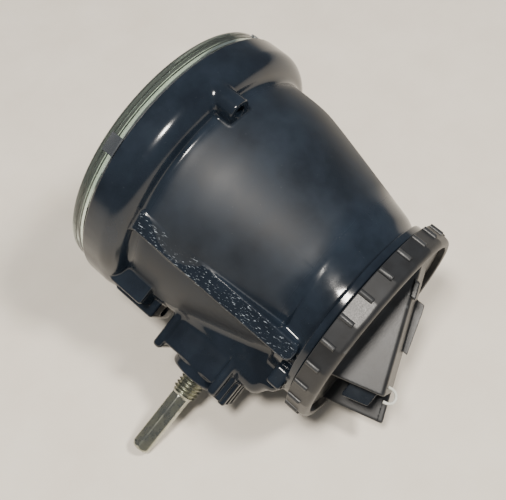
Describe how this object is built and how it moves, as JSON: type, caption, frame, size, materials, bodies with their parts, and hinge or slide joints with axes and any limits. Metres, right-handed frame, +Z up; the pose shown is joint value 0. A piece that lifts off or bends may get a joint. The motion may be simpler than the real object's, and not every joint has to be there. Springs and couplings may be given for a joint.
{
  "type": "fog light",
  "caption": "Round fog light with a glass lens in a moulded body, a bayonet rear cap with its connector housing, and a side aiming screw.",
  "frame": {"origin": "on the bench under the centre of the part's box, as the lamp lies at rest", "axes": "+Z up from the bench, -Y towards the lens, +X towards the side with the aiming screw; the optical axis lies in the YZ plane's direction, its rear end 8 degrees lower"},
  "size_m": [0.1394, 0.1316, 0.1092],
  "materials": {
    "body_plastic": "moulded gloss, blue black",
    "cap_plastic": "moulded, fine satin grain",
    "tongue_plastic": "moulded gloss black",
    "lens_glass": "pressed clear glass, faint green edge",
    "bulb_glass": "clear quartz",
    "seal_rubber": "matt",
    "seal_adhesive": "cured sealant bead",
    "mirror_coat": "vacuum aluminised",
    "spring_steel": "bright drawn wire and strip",
    "plated_steel": "pressed, zinc plated",
    "zinc_steel": "zinc plated, faint yellow passivation",
    "dark_steel": "heat resistant dark paint",
    "tungsten": "coiled wire",
    "brass": "stamped, tin flashed",
    "lead_insulation": "silicone insulation",
    "loop_plastic": "natural nylon"
  },
  "bodies": {
    "lamp": {"housing": "body_plastic", "lens": "lens_glass", "lens_seal": "seal_adhesive", "lens_clips": "spring_steel", "reflector": "mirror_coat", "reflector_screws": "plated_steel", "bulb_shield": "dark_steel", "shield_rivets": "plated_steel", "bulb_holder": "plated_steel", "holder_rivets": "plated_steel", "bulb_glass": "bulb_glass", "bulb_base": "plated_steel", "bulb_filament": "tungsten", "bulb_blades": "brass", "clip_hooks": "plated_steel", "lead_sockets": "brass", "inner_leads": "lead_insulation", "cap_seal": "seal_rubber", "aim_nut": "brass", "aim_seal": "seal_rubber"},
    "rear_cap": {"cap_ring": "cap_plastic", "cap_shell": "cap_plastic", "connector_tongue": "tongue_plastic", "connector_pins": "brass", "latch_loop": "loop_plastic", "breather": "cap_plastic"},
    "clip_wire": {"bulb_clip": "spring_steel"},
    "screw_stop": {"stop_washer": "plated_steel"},
    "adjuster": {"aim_screw": "zinc_steel"}
  },
  "joints": [
    {"name": "cap_turn", "type": "hinge", "parent": "lamp", "child": "rear_cap", "pos_m": [-0.01148, 0.03791, 0.04169], "axis": [0, 0.9919, -0.1271], "range_deg": [0, 32]},
    {"name": "clip_swing", "type": "hinge", "parent": "lamp", "child": "clip_wire", "pos_m": [-0.00751, -0.00404, 0.06325], "axis": [0.878, -0.0608, -0.4748], "range_deg": [0, 75], "stiffness_Nm_per_rad": 0.02},
    {"name": "aim_travel", "type": "slide", "parent": "lamp", "child": "screw_stop", "axis": [0.878, -0.0608, -0.4748], "range_m": [-0.0037, 0.0037]},
    {"name": "aim_spin", "type": "hinge", "parent": "screw_stop", "child": "adjuster", "pos_m": [0.04629, 0.00008, 0.01478], "axis": [0.878, -0.0608, -0.4748], "range_deg": [-900, 900]}
  ],
  "couplings": [
    {"joint": "aim_spin", "follows": "aim_travel", "rad_per_m": 4188.8}
  ]
}
